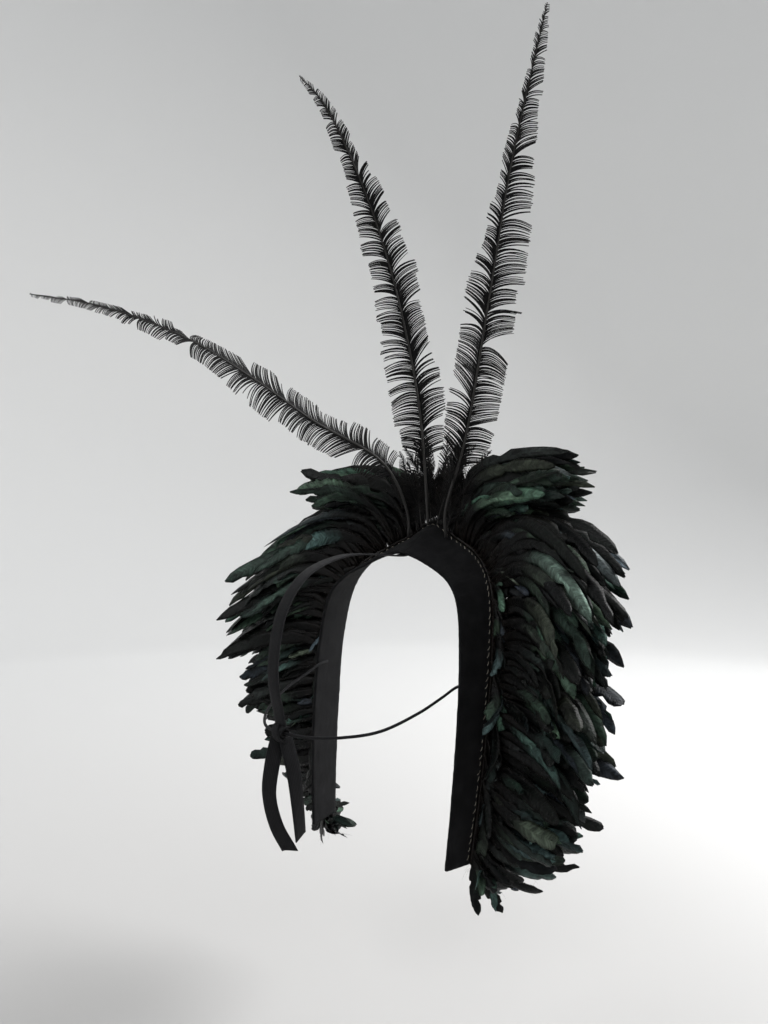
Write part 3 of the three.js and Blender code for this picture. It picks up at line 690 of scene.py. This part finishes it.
def ruffBunch(side, sideName, i):  # one bunch of feathers, and the strands of its down
    rng = np.random.default_rng(ruff["seed"] + 20 * i + side)
    low, high = bunchEnds(i)
    parts = [tapePart(side * low, side * high)]
    parts.append(underPart(side, low, high, underRow["crestCount"] if i == 0 else underRow["count"], rng))
    if i == 0:
        high = ruff["crestEnd"]  # leaves a gap behind the crest
    n = int(ruff["perStation"] * max(high - low, 0.55))
    station = low + (high - low) * np.clip(rng.beta(1.3, 1.3, n), 0.02, 0.98)
    depth = rng.random(n)
    reach = rng.uniform(*ruff["reach"], n) * np.interp(depth, (0, 0.4, 1), (0.95, 1.0, 0.88))
    flow = bunches[i]["station"] + bunches[i]["gather"] * (station - bunches[i]["station"])
    lines = ruffLines(side, station, flow, depth, rng, reach)
    width = rng.uniform(*ruff["width"], n) * np.interp(lines["length"], (0.05, 0.11), (0.6, 1.0))
    name = bunches[i]["name"]
    parts.append(featherBlades(lines, width, bunches[i]["droop"], rng))
    if edgeRow["bunches"][0] <= i <= edgeRow["bunches"][1]:
        edges = edgeLines(side, low, high, rng)
        parts.append(featherBlades(edges, rng.uniform(*edgeRow["width"], edgeRow["count"]), 0, rng))
    piece(f"ruff_{sideName}_{name}_feathers", parts, cock, [f"ruff_{sideName}_{name}"])
    return [downPart(lines, downStyle, rng), downPart(lines, wispStyle, rng)]


for sideName, side in (("right", -1), ("left", 1)):
    downs = [strands for i in range(len(bunches)) for strands in ruffBunch(side, sideName, i)]
    piece(f"ruff_{sideName}_down", downs, down)
print("ruff made")


# The tall plumes and the tuft at their feet

plumes = [  # the quill's points above its foot, the way the flat of the vane looks, and each side's barbs:
    # their angle from the quill, longest length, and the share of it that is left past the middle
    dict(name="right", foot=-0.92, facing=(-0.6, 0.8, 0.0),
         sides=(dict(turn=1, angle=54, long=27, fall=0.52), dict(turn=-1, angle=76, long=29, fall=0.88)),
         quill=[(-46, 84, 103), (-88, 60, 224), (-119, 44, 322), (-164, 20, 421)]),
    dict(name="centre", foot=0.0, facing=(-0.55, 0.8, 0.2),
         sides=(dict(turn=1, angle=76, long=26, fall=0.70), dict(turn=-1, angle=58, long=29, fall=0.74)),
         quill=[(0, 76, 137), (0, 43, 236), (0, -1, 315), (0, -52, 371), (0, -79, 382)]),
    dict(name="left", foot=0.92, facing=(-0.6, 0.6, 0.5),
         sides=(dict(turn=1, angle=78, long=26, fall=0.66), dict(turn=-1, angle=58, long=25, fall=0.56)),
         quill=[(31, 62, 84), (83, 20, 125), (110, -30, 161), (138, -85, 194), (174, -150, 216), (194, -200, 219)]),
]
plume = dict(
    footShare=0.55, footHeight=22, rootRadius=1.5, tipRadius=0.35, start=0.15, barbs=270, groups=24,
    barbWidth=1.3, barbThick=0.5, barbSteps=7, bow=24, cling=0.30, droop=0.08, seed=41,
    points=90, footLift=2.05,
)


def tubePart(line, facing, radius, around):  # one round tube along a line
    tangent, across, lift = framesAlong(line[None], facing)
    angle = np.linspace(0, 2 * math.pi, around, endpoint=False)
    r = (np.asarray(radius) * mm)[None, :, None, None]
    spoke = across[:, :, None] * np.cos(angle)[:, None] + lift[:, :, None] * np.sin(angle)[:, None]
    verts = line[None, :, None] + r * spoke
    run = lengthsAlong(line) / 0.01
    uv = np.stack(np.broadcast_arrays(run[None, :, None], (angle / (2 * math.pi))[None, None]), -1)
    stops = np.linspace(0, 1, len(line))
    # a tint of 1 gives the plume and tuft quills the palest plume tone, a painted highlight
    return part(verts, around, uv, stops[None, :, None, None], np.ones(1))


def barbLengths(stop, fall):  # as a share of the longest barb, along the feathered stretch
    return np.interp(stop, (0, 0.1, 0.38, 0.62, 0.82, 0.95, 1), (0.85, 1, 1, fall, fall * 0.56, 0.22, 0.10))


def combVane(line, facing, sides, style, rng):  # separate barbs on both sides of a quill, clumped in groups
    tangent, across, lift = (a[0] for a in framesAlong(line[None], facing))
    parts = []
    for row in sides:
        n, many = style["barbs"], style["groups"] + 1
        stop = np.sort(np.linspace(0, 1, n) + rng.normal(0, 0.15 / n, n)).clip(0, 1)
        spot = (style["start"] + (0.995 - style["start"]) * stop) * (len(line) - 1)
        at = lambda values: np.stack([np.interp(spot, np.arange(len(line)), values[:, k]) for k in range(3)], -1)
        root, t, a, f = at(line), unit(at(tangent)), unit(at(across)) * row["turn"], unit(at(lift))
        member = np.searchsorted(np.sort(rng.uniform(0, 1, style["groups"])), stop)
        lean = rng.normal(0, 6, many)[member] + rng.normal(0, 2, n)
        angle = np.radians(row["angle"] - 22 * stop**2 + lean)
        uneven = rng.uniform(0.84, 1.06, many)[member] * rng.uniform(0.94, 1.04, n)
        long = (row["long"] * barbLengths(stop, row["fall"]) * uneven)[:, None] * mm
        heading = lambda turn: a * np.sin(turn)[:, None] + t * np.cos(turn)[:, None]
        lifted = f * rng.normal(0, 0.12, many)[member][:, None]
        tip = root + (heading(angle) + lifted - up * style["droop"]) * long
        for g in range(many):  # the barbs of a group cling together at their tips
            mine = member == g
            if mine.sum() > 1:
                tip[mine] += style["cling"] * (tip[mine].mean(0) - tip[mine])
        mid = root + (heading(angle - math.radians(style["bow"])) + lifted * 0.4) * long * 0.45
        width = style["barbWidth"] * rng.uniform(0.75, 1.2, n) * np.interp(stop, (0, 0.8, 1), (1, 0.85, 0.6))
        thick = np.full(n, style["barbThick"])
        tint = 0.9 * rng.random(n)  # the palest tone, a painted highlight, is left to the quill
        parts.append(strandPart(root, mid, tip, f[:, None], width, thick, style["barbSteps"], tint, 0.55))
    return parts


def tallPlume(row):  # a quill on the base with its two rows of barbs
    rng = np.random.default_rng(plume["seed"] + len(row["quill"]))
    foot = onBase(row["foot"], plume["footShare"], np.array(plume["footLift"]))
    first = foot + np.array([0, 0.08, 1]) * plume["footHeight"] * mm
    line = evenLine(np.vstack([foot, first, [place(*p) for p in row["quill"]]]), plume["points"])
    facing = unit(np.array(row["facing"]))
    radius = np.linspace(plume["rootRadius"], plume["tipRadius"], len(line))
    parts = [tubePart(line, facing, radius, 8)] + combVane(line, facing, row["sides"], plume, rng)
    piece(f"plume_{row['name']}_feather", parts, plumeBarb, [f"plume_{row['name']}"])


tuft = dict(
    count=54, halfSpan=0.98, share=(0.60, 0.96), lean=42, long=(32, 88), barb=(11, 17), angle=50, swing=(-24, 18),
    start=0.06, barbs=38, groups=9, barbWidth=1.3, barbThick=0.6, barbSteps=4, bow=14, cling=0.3, droop=0.05, seed=61,
)


def crownTuft():  # small feathers of the same kind, fanned over the peak
    rng = np.random.default_rng(tuft["seed"])
    parts = [tapePart(-ruff["first"], ruff["first"])]
    for _ in range(tuft["count"]):
        station = tuft["halfSpan"] * rng.uniform(-1, 1)
        root = onBase(station, rng.uniform(*tuft["share"]), np.array(2.0))
        lean = math.radians(tuft["lean"] * station / tuft["halfSpan"] + rng.normal(0, 9))
        long = rng.uniform(*tuft["long"])
        reach = np.array([math.sin(lean), -rng.uniform(*tuft["swing"]) / long, math.cos(lean)])
        tip = root + reach * long * mm
        mid = root + np.array([math.sin(lean) * 0.5, -0.02, 1.0]) * long * 0.5 * mm
        line = bezier(root[None], mid[None], tip[None], np.linspace(0, 1, 24))[0]
        facing = unit(np.array([rng.normal(0, 0.5), 1.0, 0.1]))
        parts.append(tubePart(line, facing, np.linspace(0.55, 0.15, len(line)), 6))
        sides = [dict(turn=turn, angle=tuft["angle"], long=rng.uniform(*tuft["barb"]), fall=0.9) for turn in (1, -1)]
        parts += combVane(line, facing, sides, tuft, rng)
    piece("crownTuft_feathers", parts, plumeBarb, ["crown_tuft"])


for row in plumes:
    tallPlume(row)
crownTuft()
print("plumes and tuft made")


# The elastic harness at the back

harness = dict(width=12.0, thick=1.2, cordRadius=1.2, knotForward=-98, knotUp=-131)
# half of the band's width, and its thickness
bandRing = np.array([
    [-0.94, 0.5], [-0.5, 0.55], [0, 0.58], [0.5, 0.55], [0.94, 0.5], [1, 0],
    [0.94, -0.5], [0.5, -0.55], [0, -0.58], [-0.5, -0.55], [-0.94, -0.5], [-1, 0],
])


def bandPart(line, facing, width, thick, endSlant=0.0):  # a flat woven band
    tangent, across, lift = framesAlong(line[None], np.asarray(facing))
    w, h = bandRing[:, :1] * width / 2 * mm, bandRing[:, 1:] * thick * mm
    verts = line[None, :, None] + across[:, :, None] * w + lift[:, :, None] * h
    verts[:, -1] += tangent[:, -1, None] * w * endSlant  # a tail is cut at a slant
    run = lengthsAlong(line) / 0.01
    uv = np.stack(np.broadcast_arrays(run[None, :, None], (bandRing[:, 0] * 0.5 + 0.5)[None, None]), -1)
    return part(verts, len(bandRing), uv, np.zeros(1), np.full(1, 0.5))


strapSewn = dict(start=0.2, end=0.03, drop=2.4, intoKnot=4.5)  # shares across the base, and its lie below the ridge
strapRun = [(16, 1.5), (-32, 1.5), (-74, -12), (-96, -36), (-105, -66), (-106, -92), (-101, -114)]  # forward, up


def backStrap():  # from under the peak down to the knot
    under = -(base["wall"] + strapSewn["drop"] + harness["thick"] / 2)
    sewn = onBase(np.zeros(2), np.array([strapSewn["start"], strapSewn["end"]]), np.full(2, under))
    free = np.array([place(0, f, h) for f, h in strapRun])
    end = place(0, harness["knotForward"], harness["knotUp"] + strapSewn["intoKnot"])
    line = evenLine(np.vstack([sewn, free, end]), 150)
    tangent = unit(np.gradient(line, axis=0))
    band = bandPart(line, np.cross(tangent, [1.0, 0, 0])[None], harness["width"], harness["thick"])
    piece("backStrap", [band], elastic, ["back_strap"])


# out, forward and up, from the knot to one side
napeRun = [(0, -98, -131), (24, -91, -132), (45, -75, -131.5), (62, -54, -128.5), (74, -22, -119), (77, 6, -111)]
napeSewn = dict(station=5.32, shares=(0.02, 0.36), drop=0.7)


def napeCord(knot):  # through the knot, and sewn inside the base on both sides
    under = -(base["wall"] + napeSewn["drop"] + harness["cordRadius"])
    halves = []
    for side in (-1, 1):
        sewn = onBase(np.full(2, side * napeSewn["station"]), np.array(napeSewn["shares"]), np.full(2, under))
        halves.append(np.vstack([[place(*p, side) for p in napeRun[1:]], sewn]))
    points = np.vstack([halves[0][::-1], [place(*napeRun[0])], halves[1]])
    line = evenLine(points, 180)
    tube = tubePart(line, up, np.full(len(line), harness["cordRadius"]), 10)
    cord = piece("napeCord", [tube], elastic, ["nape_cord"])


knotWraps = [  # turns of the band round the cord: start and end angle, drift along the cord, radius, width
    dict(start=-40, end=330, drift=(-1.5, 1.5), radius=3.4, width=9.0),
    dict(start=60, end=290, drift=(-4.5, 4.0), radius=5.1, width=7.5),
    dict(start=70, end=280, drift=(4.2, -4.2), radius=6.3, width=6.5),
]
wrapPoints = 40


def strapKnot():
    centre = place(0, harness["knotForward"], harness["knotUp"])
    parts = []
    for wrap in knotWraps:
        angle = np.radians(np.linspace(wrap["start"], wrap["end"], wrapPoints))
        drift = np.linspace(*wrap["drift"], wrapPoints)
        spoke = np.stack([np.zeros(wrapPoints), -np.cos(angle), np.sin(angle)], -1)
        line = centre + (spoke * wrap["radius"] + np.stack([drift, 0 * drift, 0 * drift], -1)) * mm
        parts.append(bandPart(line, spoke[None], wrap["width"], harness["thick"]))
    return piece("strapKnot", parts, elastic, ["strap_knot"])


tails = [  # out, forward, up and the turn of the width from level, in degrees
    dict(name="Long", node="tail_long", slant=0.5, run=[
        (2.5, -99, -134.5, 60), (3, -105, -156, 35), (2, -108.5, -176, 20),
        (-1, -104, -200, 25), (-5, -94, -221, 30)]),
    dict(name="Short", node="tail_short", slant=-0.3, run=[
        (-4, -97, -134.5, 80), (-9.5, -94, -160, 70), (-12, -92, -186, 85), (-10.5, -87.5, -211.5, 95)]),
]
tailPoints = 70


def strapTail(row):  # a free end of the strap, hanging from the knot
    points = np.array([place(*p[:3]) for p in row["run"]])
    line = evenLine(points, tailPoints)
    stops, turns = np.linspace(0, 1, len(row["run"])), [p[3] for p in row["run"]]
    turn = np.radians(np.interp(np.linspace(0, 1, tailPoints), stops, turns))
    facing = np.stack([-np.sin(turn), np.cos(turn), 0 * turn], -1)
    band = bandPart(line, facing[None], harness["width"], harness["thick"], row["slant"])
    tail = piece("strapTail" + row["name"], [band], elastic, [row["node"]])


backStrap()
napeCord(strapKnot())
for row in tails:
    strapTail(row)
print("harness made")


# Floor, light and camera

# the floor's near tone is a painted shade under the headdress
studio = dict(floor=-0.43, flat=2.2, sweep=1.2, paintedShadeTone=(0.42, 0.415, 0.41), farTone=(0.76, 0.76, 0.755),
              sky=(0.93, 0.95, 0.97), skyPower=0.60, around=96, wall=3.4)


def studioFloor():  # a pale round floor that sweeps up into a wall all round, darker near the middle as a painted shade under the headdress
    around, flat, sweep = studio["around"], studio["flat"], studio["sweep"]
    angle = np.linspace(0, 2 * math.pi, around, endpoint=False)
    rise = np.linspace(0, math.pi / 2, 16)
    radii = np.concatenate([[0.02, 0.6, 1.4], flat + sweep * np.sin(rise), [flat + sweep]])
    heights = np.concatenate([[0, 0, 0], sweep * (1 - np.cos(rise)), [studio["wall"]]]) + studio["floor"]
    level = np.repeat(heights[:, None], around, 1)
    verts = np.stack([np.outer(radii, np.cos(angle)), np.outer(radii, np.sin(angle)), level], -1)
    grid = np.arange(verts.size // 3).reshape(len(radii), around)
    quads = np.stack([grid[:-1], np.roll(grid, -1, 1)[:-1], np.roll(grid, -1, 1)[1:], grid[1:]], -1).reshape(-1, 4)
    mesh = bpy.data.meshes.new("studioFloor")
    mesh.from_pydata(verts.reshape(-1, 3).tolist(), [], quads.tolist() + [grid[0, ::-1].tolist()])
    mesh.polygons.foreach_set("use_smooth", np.ones(len(mesh.polygons), bool))
    made, tree, shader = material("paleFloor", Roughness=0.9)
    away = put(tree, "ShaderNodeVectorMath", operation="LENGTH")
    join(tree, [(put(tree, "ShaderNodeTexCoord").outputs["Object"], away.inputs[0])])
    share = mathNode(tree, "DIVIDE", away.outputs["Value"], flat + sweep)
    # darker towards the middle: painted shade under the headdress
    tone = ramp(tree, share, ((0.15, studio["paintedShadeTone"]), (0.62, studio["farTone"])))
    join(tree, [(tone, shader.inputs["Base Color"])])
    mesh.materials.append(made)
    floor = bpy.data.objects.new("studioFloor", mesh)
    bpy.context.scene.collection.objects.link(floor)


lights = [  # where it stands from the object, its size and power
    dict(name="key", at=(-0.85, -1.15, 1.2), size=1.6, power=66),
    dict(name="fill", at=(0.5, 1.3, 1.7), size=1.2, power=14),
    dict(name="back", at=(0.8, -1.5, 1.6), size=1.6, power=9),
]


def studioLights():  # an even sky and three soft lamps
    world = bpy.data.worlds.new("studioWorld")
    world.use_nodes = True
    sky = world.node_tree.nodes["Background"]
    sky.inputs["Color"].default_value = (*studio["sky"], 1)
    sky.inputs["Strength"].default_value = studio["skyPower"]
    bpy.context.scene.world = world
    bpy.context.scene.view_settings.view_transform = "Standard"
    for row in lights:
        lamp = bpy.data.lights.new(row["name"], "AREA")
        lamp.shape, lamp.size, lamp.energy = "DISK", row["size"], row["power"]
        obj = bpy.data.objects.new(row["name"], lamp)
        obj.location = row["at"]
        toward = -np.array(row["at"]) + np.array([0, 0, -0.02])
        tilt = math.asin(toward[2] / np.linalg.norm(toward))
        obj.rotation_euler = (math.pi / 2 + tilt, 0, math.atan2(toward[1], toward[0]) - math.pi / 2)
        bpy.context.scene.collection.objects.link(obj)


view = dict(azimuth=220, distance=0.690, aside=0.016, height=0.0387, lens=28.125, sensor=36)


def photoCamera():  # level, behind the wearer's right shoulder
    turn = math.radians(view["azimuth"])
    data = bpy.data.cameras.new("camera")
    data.lens, data.sensor_width = view["lens"], view["sensor"]
    camera = bpy.data.objects.new("camera", data)
    back, right = np.array([math.sin(turn), -math.cos(turn), 0]), np.array([math.cos(turn), math.sin(turn), 0])
    camera.location = back * view["distance"] + right * view["aside"] + up * view["height"]
    camera.rotation_euler = (math.pi / 2, 0, turn)
    bpy.context.scene.collection.objects.link(camera)
    bpy.context.scene.camera = camera


studioFloor()
studioLights()
photoCamera()
print("studio made")
